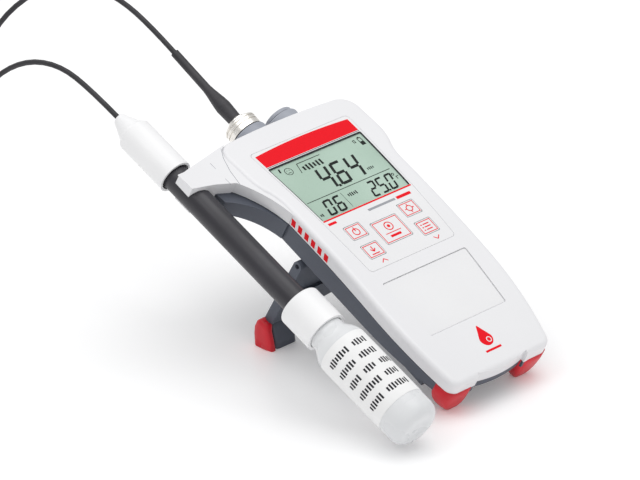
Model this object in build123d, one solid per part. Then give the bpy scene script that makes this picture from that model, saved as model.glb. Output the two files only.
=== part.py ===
from build123d import *
import os
from math import asin, cos, degrees, pi, radians, sin, sqrt, tan

# A handheld dissolved-oxygen meter on its fold-out stand, with its probe in a side clip.
# Everything is drawn in the meter's own frame: X across, Y along the case from the keypad
# end to the socket end, Z out of the face. It is then tilted back about X, so that the
# front feet and the stand's feet rest on Z = 0. Millimetres.

# ---------------------------------------------------------------- driving sizes
incline = 27.75             # tilt of the case on its stand
origin_shift_x = 15.7       # puts the middle of the standing meter over the origin
origin_shift_y = -81.1
air = 0.3                   # gap between pieces that move past each other
seat = 0.15                 # gap around a piece set into a recess
shaft_fit = 0.06            # radial clearance of a pin or shaft in its hole

case_length = 150.0
case_half_width = 35.4      # the straight sides
case_tail_half = 29.0       # at the keypad end
shoulder_half = 39.8        # at the socket end
shoulder_start = 108.0
shoulder_full = 128.0
tail_curve_end = 48.0
wall = 2.0
screw_radius = 1.3
board_screw_radius = 1.0
lobe_inner = 14.8           # the two corner lobes at the keypad end
lobe_step = 1.7
tail_bow = 1.6
tail_round = 5.0
shoulder_round = 9.0

face_top = 22.8             # height of the face at its highest line
face_apex = 71.0            # where that line is
crown_radius = 600.0
top_shell_depth = 6.4       # white side wall, measured down from the face
edge_round = 2.4
base_front = 8.5            # underside of the case at the keypad end
base_slope = 0.0245         # and how it falls towards the socket end
gasket_thickness = 0.6

display_front = 94.1        # the display window, a slight trapezoid
display_back = 128.5
display_half_front = 26.1
display_half_back = 27.6
window_thickness = 1.2
lcd_frame_depth = 2.45      # under the flat plane that touches the face over the display
lcd_lip = 0.5
lcd_thickness = 2.0
lcd_margin = 1.5            # glass beyond the window on every side

overlay_front = 62.6
overlay_back = 139.0
overlay_half_front = 25.4
overlay_half_back = 29.3
overlay_thickness = 0.4

key_thickness = 1.0
key_plunger_depth = 3.0
keys = {                    # centre X, centre Y, width, height
    "key_read": (0.0, 77.5, 15.0, 12.4),
    "key_exit": (-16.1, 83.3, 9.0, 7.4),
    "key_cal": (16.1, 83.3, 9.0, 7.4),
    "key_store": (-15.9, 71.9, 9.0, 7.4),
    "key_mode": (16.4, 71.9, 9.0, 7.4),
}

label_front = 25.0
label_back = 55.7
label_half_front = 23.0
label_half_back = 25.1
label_recess = 0.9
label_thickness = 0.5

board_depth = 5.6
board_thickness = 1.6
board_front = 60.0
board_back = 131.0
board_half = 27.0

cell_diameter = 10.5
cell_length = 44.5
cell_count = 4
cell_pitch = 11.2
cell_height = 8.2           # cell axis, above the meter frame's base plane
bay_front = 20.0
bay_depth = 49.6
bay_wall = 3.8
door_thickness = 2.3
door_tongue = 0.9

hinge_line = 89.5           # the stand's pin
hinge_height = 2.6
hinge_pin_radius = 1.1
stand_thickness = 4.6
stand_half_width = 38.0
stand_drop = 42.0           # from the pin to the bottom of the plate
stand_arch_rise = 12.0
stand_arch_half = 31.0
lug_centres = (-24.0, 24.0)
lug_width = 7.0
stand_foot_width = 15.5
stand_foot_length = 15.0
stand_foot_height = 11.5

socket_spread = 9.6         # each socket's distance from the middle
socket_height = 6.0
collar_radius = 8.4
collar_length = 5.6
socket_barrel_radius = 4.8
socket_barrel_length = 11.0

shaft_radius = 6.0
shaft_length = 120.0
clip_wall = 3.0
jaw_lower = 3.0             # the jaw is open between these angles, measured
jaw_upper = 145.0           # round the shaft from its underside
clip_width = 9.6
clip_depth = 10.5
arm_root = 103.0            # where the arm and the bracket run out along the case
root_x = -34.0
clip_screw_places = [(-45.4, 131.5), (-45.4, 141.5)]
probe_x = -61.0             # probe axis at the clip
probe_y = 139.0
probe_z = 10.8
probe_yaw_run = 1.7         # how far the axis moves over its run to the bottle's end
probe_run = 148.0
probe_pitch_run = 6.9

head_radius = 8.0
head_rim = 9.0              # distances along the probe from the clip, towards the cable
head_length = 28.5
head_step_radius = 6.2
nose_length = 9.5
nose_radius = 2.9
cathode_radius = shaft_radius - 3.8
cable_radius = 1.2

cap_top = -71.5             # bottle cap, along the probe from the clip
cap_length = 18.0
cap_radius = 9.8
bottle_radius = 11.5
bottle_end = -148.5
bottle_wall = 1.1
neck_radius = shaft_radius + 2.1
shoulder_drop = 7.0

plug_ring_radius = 7.8
plug_ring_length = 6.0
boot_start = 164.2
boot_radius = 3.2
boot_sleeve_radius = 2.0
boot_end = 207.5

shaft_tip = head_rim - shaft_length
tilt = Location((origin_shift_x, origin_shift_y, 0)) * Location((0, 0, 0), (incline, 0, 0))


# ---------------------------------------------------------------- the crowned case
def crown(y, depth=0.0):
    """Height of the face, or of the surface that lies depth below it, at y."""
    radius = crown_radius - depth
    return face_top - crown_radius + sqrt(radius ** 2 - (y - face_apex) ** 2)


def on_face(x, y, depth=0.0):
    """A place at that depth under the face, turned to lie along it."""
    turn = -degrees(asin((y - face_apex) / crown_radius))
    return Location((x, y, crown(y, depth)), (turn, 0, 0))


def crown_slab(high, low, front=-12.0, back=case_length + 16.0):
    """Everything between two depths under the face, across the whole width."""
    middle = (front + back) / 2
    top = [(y, crown(y, high)) for y in (front, middle, back)]
    bottom = [(y, crown(y, low)) for y in (back, middle, front)]
    outline = Wire([
        ThreePointArc(*top),
        Line(top[2], bottom[0]),
        ThreePointArc(*bottom),
        Line(bottom[2], top[0]),
    ])
    side = Plane.YZ * make_face(outline)
    return extrude(side, 90, both=True)


def base_height(y):
    """Underside of the case."""
    return base_front - base_slope * y


def body_slab(depth, base_offset):
    """From that depth under the face down to the underside plus an offset."""
    front, back = -12.0, case_length + 16.0
    middle = (front + back) / 2
    top = [(y, crown(y, depth)) for y in (front, middle, back)]
    low = [(y, base_height(y) + base_offset) for y in (back, front)]
    outline = Wire([
        ThreePointArc(*top),
        Line(top[2], low[0]),
        Line(low[0], low[1]),
        Line(low[1], top[0]),
    ])
    return extrude(Plane.YZ * make_face(outline), 90, both=True)


def case_outline(inset=0.0):
    """Plan of the case: bowed keypad end, long sides, wider shoulders at the sockets."""
    tail = (case_tail_half, 0.0)
    side_front = (case_half_width, tail_curve_end)
    side_back = (case_half_width, shoulder_start)
    flare = ((case_half_width + shoulder_half) / 2, (shoulder_start + shoulder_full) / 2)
    shoulder = (shoulder_half, shoulder_full)
    corner = (shoulder_half, case_length - 0.6)
    right = [
        TangentArc(side_front, tail, tangent=(0, -1)),
        Line(side_front, side_back),
        TangentArc(side_back, flare, tangent=(0, 1)),
        TangentArc(shoulder, flare, tangent=(0, -1)),
        Line(shoulder, corner),
    ]
    left = [edge.mirror(Plane.YZ) for edge in right]
    ends = [
        Line((-tail[0], tail[1]), tail),
        ThreePointArc(corner, (0, case_length + 1.2), (-corner[0], corner[1])),
    ]
    plan = make_face(Wire(right + left + ends))
    ends = plan.vertices().group_by(Axis.Y)
    plan = fillet(ends[0], tail_round)
    plan = fillet(plan.vertices().group_by(Axis.Y)[-1], shoulder_round)
    return offset(plan, -inset) if inset else plan


def prism(plan, low=-20.0, high=40.0):
    return extrude(Plane.XY.offset(low) * plan, high - low)


def tail_notch(inset=0.0):
    """What the set-back middle of the keypad end takes away between the lobes."""
    half = lobe_inner + inset
    back = lobe_step + inset
    outline = Wire([
        Line((-half, -10), (half, -10)),
        Line((half, -10), (half, back)),
        ThreePointArc((half, back), (0, back - tail_bow), (-half, back)),
        Line((-half, back), (-half, -10)),
    ])
    return prism(make_face(outline))


def quad(front, back, half_front, half_back, grow=0.0, corner=1.0):
    """A trapezoid in plan with rounded corners."""
    corners = [
        (-half_front - grow, front - grow),
        (half_front + grow, front - grow),
        (half_back + grow, back + grow),
        (-half_back - grow, back + grow),
    ]
    plan = make_face(Polyline(*corners, close=True))
    return fillet(plan.vertices(), corner)


def display_quad(grow=0.0, corner=0.8):
    return quad(display_front, display_back, display_half_front, display_half_back, grow, corner)


def overlay_quad(grow=0.0, corner=2.0):
    return quad(overlay_front, overlay_back, overlay_half_front, overlay_half_back, grow, corner)


def label_quad(grow=0.0, corner=1.0):
    return quad(label_front, label_back, label_half_front, label_half_back, grow, corner)


def key_plan(name, grow=0.0):
    x, y, width, height = keys[name]
    return Pos(x, y) * RectangleRounded(width + 2 * grow, height + 2 * grow, 0.8)


screw_places = [(-24.5, 12.9), (24.5, 12.9), (-33.0, 136.5), (33.0, 136.5)]
board_posts = [(x, y) for x in (-24.4, 24.4) for y in (65.5, 88.9)]


def cylinder_up(x, y, low, high, radius):
    return Pos(x, y, low) * Cylinder(radius, high - low, align=(Align.CENTER, Align.CENTER, Align.MIN))


def make_top_shell():
    block = prism(case_outline()) & crown_slab(0, top_shell_depth)
    rim = [
        edge for edge in block.edges()
        if abs(edge.center().Z - crown(edge.center().Y)) < 0.6
    ]
    block = fillet(rim, edge_round)
    shell = block - hollow_plan(wall, crown_slab(wall, top_shell_depth + 5)) - tail_notch()
    shell -= prism(overlay_quad(seat)) & crown_slab(-1, overlay_thickness + 0.05)
    shell -= prism(display_quad(seat)) & crown_slab(-1, wall + 1)
    shell -= prism(label_quad()) & crown_slab(-1, label_recess)
    for name in keys:
        shell -= prism(key_plan(name, air)) & crown_slab(-1, wall + 1)
    for x, y in screw_places:
        post = cylinder_up(x, y, 5, 30, 3.0) & crown_slab(wall - 0.2, top_shell_depth)
        shell += post & prism(case_outline(0.6))
        shell -= cylinder_up(x, y, 0, crown(y, 3.2), screw_radius)
    for x, y in board_posts:
        shell += cylinder_up(x, y, board_surface(y) + 0.15, crown(y, wall - 0.2), 1.8)
        shell -= cylinder_up(x, y, 0, crown(y, wall), board_screw_radius)
    return shell


def hollow_plan(inset, slab):
    """The inside of the case, which stays clear of the notched keypad end."""
    return (prism(case_outline(inset)) & slab) - tail_notch(inset)


def make_case_gasket():
    ring = prism(case_outline(0.6)) - tail_notch(0.6)
    slab = crown_slab(top_shell_depth, top_shell_depth + gasket_thickness)
    ring = (ring & slab) - hollow_plan(wall - 0.1, slab)
    for x, y in screw_places:
        ring -= cylinder_up(x, y, 0, 30, 3.3)
    return ring - socket_bores()


def make_bottom_shell():
    top = top_shell_depth + gasket_thickness
    shell = (prism(case_outline(0.25)) & body_slab(top, 0)) - tail_notch(0.25)
    shell -= hollow_plan(wall + 0.25, body_slab(top - 5, wall))
    shell += bay_walls() + socket_housing()
    shell -= bay_hollow() + socket_bores()
    for x in lug_centres:
        shell += hinge_lug(x)
    for x, y in screw_places:
        post = cylinder_up(x, y, base_height(y), 40, 3.2) & body_slab(top_shell_depth, 0)
        shell += post & prism(case_outline(0.6))
        shell -= cylinder_up(x, y, -10, 40, screw_radius + shaft_fit)
        shell -= cylinder_up(x, y, -10, screw_seat(y), 2.6)
    return shell


def screw_seat(y):
    """Where a case screw's head bears, at the bottom of its counterbore."""
    return base_height(y) + 2.2


bay_half = cell_pitch * cell_count / 2
bay_ceiling = cell_height + cell_diameter / 2 + 0.4
bay_floor = cell_height - cell_diameter / 2 - 0.4
door_top = bay_floor - air
door_half = bay_half + 1.2
rail_bottom = door_top - door_thickness


def bay_block(grow, low, high):
    return Pos(0, bay_front + bay_depth / 2, low) * Box(
        2 * (bay_half + grow), bay_depth + 2 * grow, high - low,
        align=(Align.CENTER, Align.CENTER, Align.MIN))


def bay_walls():
    """The battery box, with a grooved rail down each side for the sliding door."""
    box = bay_block(bay_wall, bay_floor, bay_ceiling + 1.4)
    inner = door_half + air
    for side in (-1, 1):
        rail = Pos(side * (inner + bay_half + bay_wall) / 2, bay_front - bay_wall, rail_bottom) * Box(
            bay_half + bay_wall - inner, bay_depth + 2 * bay_wall, bay_floor - rail_bottom,
            align=(Align.CENTER, Align.MIN, Align.MIN))
        groove = Pos(side * inner, bay_front - bay_wall - 1, door_top - door_tongue - air) * Box(
            2.4, bay_depth + 2 * bay_wall, door_tongue + 2 * air,
            align=(Align.CENTER, Align.MIN, Align.MIN))
        box += rail - groove
    stop = Pos(0, bay_front + bay_depth + bay_wall - 1.6, rail_bottom) * Box(
        2 * bay_half, 1.6, bay_floor - rail_bottom, align=(Align.CENTER, Align.MIN, Align.MIN))
    return box + stop


def bay_hollow():
    return bay_block(0.0, bay_floor - 1, bay_ceiling)


housing_half = socket_spread + collar_radius + 2.2
housing_front = 131.0
housing_low = socket_height - collar_radius - 1.6


def socket_housing():
    block = Pos(0, housing_front, housing_low) * Box(
        2 * housing_half, 40, 40, align=(Align.CENTER, Align.MIN, Align.MIN))
    block = fillet(block.edges().filter_by(Axis.Y).group_by(Axis.Z)[0], 4.0)
    return block & prism(case_outline(0.25)) & crown_slab(top_shell_depth + gasket_thickness, 60)


def along(x, y, z, length, radius):
    """A cylinder that starts at y and runs towards the socket end."""
    place = Location((x, y, z), (-90, 0, 0))
    return place * Cylinder(radius, length, align=(Align.CENTER, Align.CENTER, Align.MIN))


def socket_bores():
    left, right = [
        along(side * socket_spread, housing_front + 1.5, socket_height, 40, socket_barrel_radius + seat)
        for side in (-1, 1)
    ]
    return left + right


def hinge_lug(x):
    root = base_height(hinge_line) + 0.6
    lug = Pos(x, hinge_line, hinge_height) * Box(lug_width, stand_thickness, root - hinge_height,
                                                 align=(Align.CENTER, Align.CENTER, Align.MIN))
    eye = Location((x, hinge_line, hinge_height), (0, 90, 0)) * Cylinder(stand_thickness / 2, lug_width)
    bore = Location((x, hinge_line, hinge_height), (0, 90, 0)) * Cylinder(hinge_pin_radius, 20)
    return lug + eye - bore


# ---------------------------------------------------------------- face pieces
def make_display_window():
    return prism(display_quad(0)) & crown_slab(0.02, window_thickness)


def make_keypad_overlay():
    film = prism(overlay_quad(0)) & crown_slab(0, overlay_thickness)
    film = film - prism(display_quad(seat))
    for name in keys:
        film = film - prism(key_plan(name, air))
    return film


def make_key(name):
    x, y, width, height = keys[name]
    plate = prism(key_plan(name)) & crown_slab(0, key_thickness)
    low = crown(y, key_plunger_depth)
    return plate + cylinder_up(x, y, low, crown(y, 0.5), 1.8)


def make_label_plate():
    return prism(label_quad(-0.35, 0.8)) & crown_slab(label_recess - label_thickness, label_recess)


display_middle = (display_front + display_back) / 2
display_plane = on_face(0, display_middle)
display_turn = (display_middle - face_apex) / crown_radius


def face_block(high, low, margin):
    """A slab behind the display, between two depths under its flat plane."""
    length = display_back - display_front + 2 * margin
    width = 2 * display_half_back + 2 * margin
    return display_plane * Pos(0, 0, -high) * Box(
        width, length, low - high, align=(Align.CENTER, Align.CENTER, Align.MAX))


def make_lcd_frame():
    bottom = lcd_frame_depth + lcd_lip + lcd_thickness + 0.2
    body = face_block(lcd_frame_depth, bottom, lcd_margin + 1.1)
    body -= face_block(lcd_frame_depth + lcd_lip, bottom + 1, lcd_margin + 0.1)
    return body - face_block(0, bottom, 0.6)


glass_bottom = lcd_frame_depth + lcd_lip + lcd_thickness


def make_lcd_panel():
    return face_block(lcd_frame_depth + lcd_lip, glass_bottom, lcd_margin)


def make_zebra_strips():
    edge = (display_back - display_front) / 2 + lcd_margin - 1.0
    strips = [
        display_plane * Pos(0, side * edge, -glass_bottom) * Box(
            46, 1.4, board_depth - glass_bottom, align=(Align.CENTER, Align.CENTER, Align.MAX))
        for side in (-1, 1)
    ]
    return Compound(strips)


def board_surface(y):
    """Top of the main board, which lies flat behind the display."""
    return crown(display_middle) - board_depth / cos(display_turn) - (y - display_middle) * tan(display_turn)


def make_main_board():
    front, back = board_front - display_middle, board_back - display_middle
    board = display_plane * Pos(0, (front + back) / 2, -board_depth) * Box(
        2 * board_half, back - front, board_thickness, align=(Align.CENTER, Align.CENTER, Align.MAX))
    chips = [(-12, -6, 12, 12, 1.4), (10, -9, 8, 6, 1.2), (8, 8, 6, 10, 1.2), (-10, 10, 9, 4, 2.6)]
    for x, y, width, length, height in chips:
        chip = Box(width, length, height, align=(Align.CENTER, Align.CENTER, Align.MAX))
        board += display_plane * Pos(x, y, -board_depth - board_thickness) * chip
    for x, y in board_posts:
        board -= cylinder_up(x, y, 0, 40, board_screw_radius + 0.1)
    return board


def make_board_screws():
    screws = []
    for x, y in board_posts:
        seat_height = board_surface(y) - board_thickness / cos(display_turn) - 0.1
        head = cylinder_up(x, y, seat_height - 1.1, seat_height, 1.7)
        screws.append(head + cylinder_up(x, y, seat_height - 0.5, crown(y, wall + 0.4), board_screw_radius))
    return Compound(screws)


def make_case_screws():
    screws = []
    for x, y in screw_places:
        low = screw_seat(y)
        head = cylinder_up(x, y, low - 1.7, low, 2.3)
        head -= Pos(x, y, low - 1.7) * (Box(3.2, 0.7, 1.6) + Box(0.7, 3.2, 1.6))
        screws.append(head + cylinder_up(x, y, low - 0.5, crown(y, 3.5), screw_radius))
    return Compound(screws)


def make_dome_sheet():
    """Snap domes on the board, one under each key."""
    domes = []
    for x, y, width, height in keys.values():
        ball = Pos(0, 0, -5.0) * Sphere(5.8)
        dome = ball & cylinder_up(0, 0, 0, 2, 2.9)
        domes.append(display_plane * Pos(x, y - display_middle, -board_depth) * dome)
    return Compound(domes)


# ---------------------------------------------------------------- power
def cell_centres():
    return [(index - (cell_count - 1) / 2) * cell_pitch for index in range(cell_count)]


def make_battery_cells():
    cells = []
    start = bay_front + 4.2
    for x in cell_centres():
        can = along(x, start, cell_height, cell_length - 1.2, cell_diameter / 2)
        can = fillet(can.edges(), 0.5)
        cells.append(can + along(x, start + cell_length - 1.3, cell_height, 1.3, 1.9))
    return Compound(cells)


def make_battery_contacts():
    plates = []
    for x in cell_centres():
        front = Pos(x, bay_front, cell_height) * Box(8.6, 0.4, 9, align=(Align.CENTER, Align.MIN, Align.CENTER))
        plates.append(front + along(x, bay_front + 0.3, cell_height, 3.8, 2.4))
        back = Pos(x, bay_front + bay_depth, cell_height)
        plates.append(back * Box(8.6, 0.4, 9, align=(Align.CENTER, Align.MAX, Align.CENTER)))
    return Compound(plates)


def make_battery_door():
    front = bay_front - bay_wall + 0.4
    back = bay_front + bay_depth + bay_wall - 1.6 - air
    body = Pos(0, (front + back) / 2, rail_bottom) * Box(
        2 * door_half, back - front, door_thickness, align=(Align.CENTER, Align.CENTER, Align.MIN))
    tongue = Pos(0, (front + back) / 2, door_top) * Box(
        2 * (door_half + 0.9), back - front, door_tongue, align=(Align.CENTER, Align.CENTER, Align.MAX))
    door = body + tongue
    for index in range(5):
        y = bay_front + 8 + index * 2.2
        door -= Pos(0, y, rail_bottom) * Box(18, 1.0, 1.0)
    return door


# ---------------------------------------------------------------- feet and stand
floor_cut = tilt.inverse() * (Pos(0, 0, -50) * Box(800, 800, 100))


def rounded_loft(sections):
    """A lofted block through rounded rectangles, each x, y, height, width, length."""
    return loft([
        Pos(x, y, height) * RectangleRounded(width, length, 0.42 * min(width, length))
        for x, y, height, width, length in sections
    ])


def make_front_foot(side):
    width = case_tail_half - lobe_inner - 0.4
    middle = side * (lobe_inner + case_tail_half) / 2
    foot = rounded_loft([
        (middle, 4.7, 12.0, width, 9.4),
        (middle, 4.7, 8.0, width, 9.4),
        (middle, 4.4, 3.6, width - 0.8, 8.6),
        (middle - side * 0.4, 3.6, 0.4, width - 3.6, 6.6),
        (middle - side * 0.8, 2.4, -3.6, width - 9.4, 2.6),
    ])
    return foot - body_slab(0, 0) - floor_cut


def stand_plan():
    """The stand seen along the case: full width at the pin, two legs and an arch."""
    low = hinge_height - stand_drop
    half = stand_half_width
    outline = Wire([
        Line((-half + 1.6, hinge_height), (half - 1.6, hinge_height)),
        Line((half - 1.6, hinge_height), (half, low)),
        Line((half, low), (stand_arch_half, low)),
        ThreePointArc((stand_arch_half, low), (0, low + stand_arch_rise), (-stand_arch_half, low)),
        Line((-stand_arch_half, low), (-half, low)),
        Line((-half, low), (-half + 1.6, hinge_height)),
    ])
    return make_face(outline)


def make_stand_frame():
    sheet = extrude(Plane.XZ.offset(-hinge_line) * stand_plan(), stand_thickness / 2, both=True)
    barrel = Location((0, hinge_line, hinge_height), (0, 90, 0)) * Cylinder(
        stand_thickness / 2, 2 * (stand_half_width - 1.6))
    frame = sheet + barrel
    for x in lug_centres:
        room = Pos(x, hinge_line, hinge_height) * Box(lug_width + 2 * air, 9.0, 2 * 2.9)
        frame = frame - room
    bore = Location((0, hinge_line, hinge_height), (0, 90, 0)) * Cylinder(
        hinge_pin_radius + shaft_fit, 200)
    frame = frame - bore
    rib = Pos(0, hinge_line - stand_thickness / 2, hinge_height - 17) * Box(
        2 * stand_half_width - 16, 1.6, 1.8, align=(Align.CENTER, Align.MAX, Align.CENTER))
    frame = frame + rib
    for side in (-1, 1):
        frame = frame - stand_foot_room(side) + stand_tongue(side)
    return frame


stand_foot_top = hinge_height - stand_drop + stand_foot_height - 4.5
stand_foot_x = stand_half_width - stand_foot_width / 2 + 2.0


def stand_foot_room(side):
    """The end of the leg, which the rubber foot takes over."""
    return Pos(side * stand_foot_x, hinge_line, stand_foot_top) * Box(
        stand_foot_width + 3, 30, 20, align=(Align.CENTER, Align.CENTER, Align.MAX))


def stand_tongue(side):
    """A thinner tongue that the rubber foot is pressed on to."""
    return Pos(side * stand_foot_x, hinge_line, stand_foot_top) * Box(
        stand_foot_width - 4, 2.2, 6.0, align=(Align.CENTER, Align.CENTER, Align.MAX))


def make_stand_foot(side):
    x = side * stand_foot_x
    y = hinge_line - 4.0
    foot = rounded_loft([
        (x, hinge_line, stand_foot_top, stand_foot_width - 2.4, stand_thickness + 0.6),
        (x, y + 2.6, stand_foot_top - 4, stand_foot_width - 0.6, 10.6),
        (x, y, stand_foot_top - 10, stand_foot_width, 14.6),
        (x, y - 0.6, stand_foot_top - 14.5, stand_foot_width - 1.6, 13.0),
        (x, y - 0.9, stand_foot_top - 19, stand_foot_width - 5.6, 8.2),
    ])
    return foot - stand_tongue(side) - floor_cut


def make_stand_pin():
    return Location((0, hinge_line, hinge_height), (0, 90, 0)) * Cylinder(
        hinge_pin_radius, 2 * (stand_half_width - 3.0))


# ---------------------------------------------------------------- sockets and plug
def make_probe_socket():
    x, z = -socket_spread, socket_height
    barrel = along(x, housing_front + 4, z, case_length - housing_front + socket_barrel_length - 4,
                   socket_barrel_radius)
    barrel = barrel - along(x, case_length + 1, z, 30, 3.6)
    pin = along(x, case_length - 2, z, 9, 0.7)
    return barrel + pin


def make_socket_collar(side):
    x, z = side * socket_spread, socket_height
    ring = along(x, case_length - 1.6, z, collar_length + 2.0, collar_radius)
    ring = fillet(ring.edges().group_by(Axis.Y)[-1], 1.2)
    ring -= along(x, case_length - 5, z, 30, socket_barrel_radius + seat)
    return ring - prism(case_outline(0.0))


def make_temp_socket():
    x, z = socket_spread, socket_height
    barrel = along(x, housing_front + 4, z, case_length - housing_front + 1, socket_barrel_radius)
    return barrel - along(x, case_length - 6, z, 30, 2.2)


def make_socket_cap():
    x, z = socket_spread, socket_height
    start = case_length + 0.4 + collar_length + air
    disc = along(x, start, z, 1.8, collar_radius - 1.2)
    disc = fillet(disc.edges().group_by(Axis.Y)[-1], 0.8)
    stem = along(x, case_length - 4, z, start - case_length + 4.5, 2.2 - air)
    return disc + stem


def make_plug_ring():
    x, z = -socket_spread, socket_height
    start = case_length + 0.4 + collar_length + air
    ring = along(x, start, z, plug_ring_length, plug_ring_radius)
    ring = chamfer(ring.edges().group_by(Axis.Y)[-1], 0.6)
    for step in (2.4, 4.2):
        groove = along(x, start + step, z, 0.45, 12) - along(x, start + step, z, 0.45, plug_ring_radius - 0.5)
        ring = ring - groove
    return ring - along(x, start - 1, z, 20, socket_barrel_radius + shaft_fit + 0.04)


def make_plug_shell():
    x, z = -socket_spread, socket_height
    start = case_length + 0.4 + collar_length + air + plug_ring_length + air
    disc = along(x, start, z, boot_start - start, 4.9)
    disc = chamfer(disc.edges().group_by(Axis.Y)[-1], 0.5)
    core = along(x, case_length + 7.6, z, start - case_length - 7.0, 3.0)
    return disc + core - along(x, case_length + 4, z, 4.5, 0.9)


def turned(profile):
    """A solid of revolution from (radius, height) points, about the Z axis."""
    points = [(0, profile[0][1])] + list(profile) + [(0, profile[-1][1])]
    face = make_face(Polyline(*points, close=True))
    return revolve(Plane.XZ * face, Axis.Z)


def make_plug_boot():
    length = boot_end - boot_start
    body = turned([
        (boot_radius - 0.1, 0), (boot_radius + 0.3, 9), (boot_radius, 12),
        (boot_sleeve_radius + 0.3, 18), (boot_sleeve_radius, 21), (boot_sleeve_radius - 0.1, length),
    ])
    place = Location((-socket_spread, boot_start, socket_height), (-90, 0, 0))
    return place * body


# ---------------------------------------------------------------- probe and bottle
probe_axis = Vector(-probe_yaw_run, probe_run, -probe_pitch_run).normalized()
probe_place = Plane(origin=(probe_x, probe_y, probe_z), x_dir=(0, -probe_pitch_run, -probe_run),
                    z_dir=probe_axis).location


def make_head_cap():
    rim, top = head_rim, head_rim + head_length
    nose = top + nose_length
    body = turned([
        (head_radius, rim), (head_radius, top - 1.2), (head_radius - 1.2, top + 0.4),
        (head_step_radius, top + 0.9), (nose_radius + 1.2, top + nose_length * 0.62),
        (nose_radius, nose - 0.6), (nose_radius - 0.6, nose),
    ])
    body = body - Pos(0, 0, rim) * Cylinder(shaft_radius + 0.9, 3.0, align=(
        Align.CENTER, Align.CENTER, Align.MIN))
    body = body - Pos(0, 0, rim) * Cylinder(shaft_radius + 0.02, 14.0, align=(
        Align.CENTER, Align.CENTER, Align.MIN))
    body = body - Pos(0, 0, rim + 13) * Cylinder(4.4, head_length - 16, align=(
        Align.CENTER, Align.CENTER, Align.MIN))
    body = body - Pos(0, 0, rim + 12) * Cylinder(cable_radius + 0.05, 60, align=(
        Align.CENTER, Align.CENTER, Align.MIN))
    return probe_place * body


def tube(low, high, outer, inner):
    up = (Align.CENTER, Align.CENTER, Align.MIN)
    return (Pos(0, 0, low) * Cylinder(outer, high - low, align=up)
            - Pos(0, 0, low - 1) * Cylinder(inner, high - low + 2, align=up))


def rod(low, high, radius):
    return Pos(0, 0, low) * Cylinder(radius, high - low, align=(Align.CENTER, Align.CENTER, Align.MIN))


membrane_length = 13.0


def make_probe_shaft():
    return probe_place * tube(shaft_tip + membrane_length, head_rim + 14, shaft_radius, shaft_radius - 1.4)


def make_membrane_cap():
    low = shaft_tip
    cup = rod(low, low + membrane_length - 0.1, shaft_radius)
    cup = chamfer(cup.edges().group_by(Axis.Z)[0], 0.8)
    return probe_place * (cup - rod(low + 1.0, low + 30, shaft_radius - 1.5))


def make_anode():
    low = shaft_tip + 2.2
    return probe_place * tube(low, low + 34, shaft_radius - 1.8, cathode_radius + 0.2)


def make_cathode():
    low = shaft_tip + 1.3
    return probe_place * rod(low, low + 40, cathode_radius)


def make_shaft_plug():
    return probe_place * tube(head_rim + 4, head_rim + 12, shaft_radius - 1.45, cable_radius + 0.1)


def make_bottle_cap():
    low = cap_top - cap_length
    body = rod(low, cap_top, cap_radius)
    body = fillet(body.edges().group_by(Axis.Z)[-1], 1.4)
    body -= rod(low - 1, cap_top - 3.2, neck_radius + air)
    body -= rod(low, cap_top + 1, shaft_radius + air)
    return probe_place * body


def make_cap_seal():
    thick = (neck_radius - shaft_radius - shaft_fit) / 2
    ring = Pos(0, 0, cap_top - 3.2 - thick) * Torus(shaft_radius + shaft_fit + thick, thick)
    return probe_place * ring


def make_bottle():
    top = cap_top - 5.8
    shoulder_top = cap_top - cap_length - 2.6
    shoulder = shoulder_top - shoulder_drop
    outer = turned([
        (neck_radius, top), (neck_radius, shoulder_top), (bottle_radius - 1.3, shoulder + 3.0),
        (bottle_radius, shoulder), (bottle_radius, bottle_end + 4.5), (bottle_radius - 1.2, bottle_end + 1.6),
        (bottle_radius - 4.2, bottle_end),
    ][::-1])
    inner = turned([
        (shaft_radius + 0.7, top + 1), (shaft_radius + 0.7, shoulder_top), (bottle_radius - 2.4, shoulder + 1.6),
        (bottle_radius - bottle_wall, shoulder - 1), (bottle_radius - bottle_wall, bottle_end + 4.5),
        (bottle_radius - 3.5, bottle_end + 1.6),
    ][::-1])
    return probe_place * (outer - inner)


def make_bottle_label():
    low = bottle_end + 11.5
    high = cap_top - cap_length - 2.6 - shoulder_drop - 1.0
    return probe_place * tube(low, high, bottle_radius + 0.14, bottle_radius + 0.02)


def clip_arm_plan():
    """Plan of the arm from the shoulder of the case out to the jaw."""
    tip = probe_x - shaft_radius + 0.7
    back = probe_y + clip_width / 2 - 0.4
    front = probe_y - clip_width / 2 + 0.4
    outline = Wire([
        Line((root_x, case_length - 0.4), (probe_x + 2.5, back + 1.6)),
        Line((probe_x + 2.5, back + 1.6), (tip, back)),
        Line((tip, back), (tip, front)),
        Line((tip, front), (probe_x + 6.0, front - 2.6)),
        Line((probe_x + 6.0, front - 2.6), (probe_x + 15.0, front - 6.0)),
        ThreePointArc((probe_x + 15.0, front - 6.0), (-39.2, 116.0), (-35.85, arm_root)),
        Line((-35.85, arm_root), (root_x, arm_root)),
        Line((root_x, arm_root), (root_x, case_length - 0.4)),
    ])
    return make_face(outline)


def jaw_room(grow):
    """The space the shaft and its head sweep through the jaw."""
    return probe_place * rod(-60, 80, shaft_radius + grow)


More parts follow.
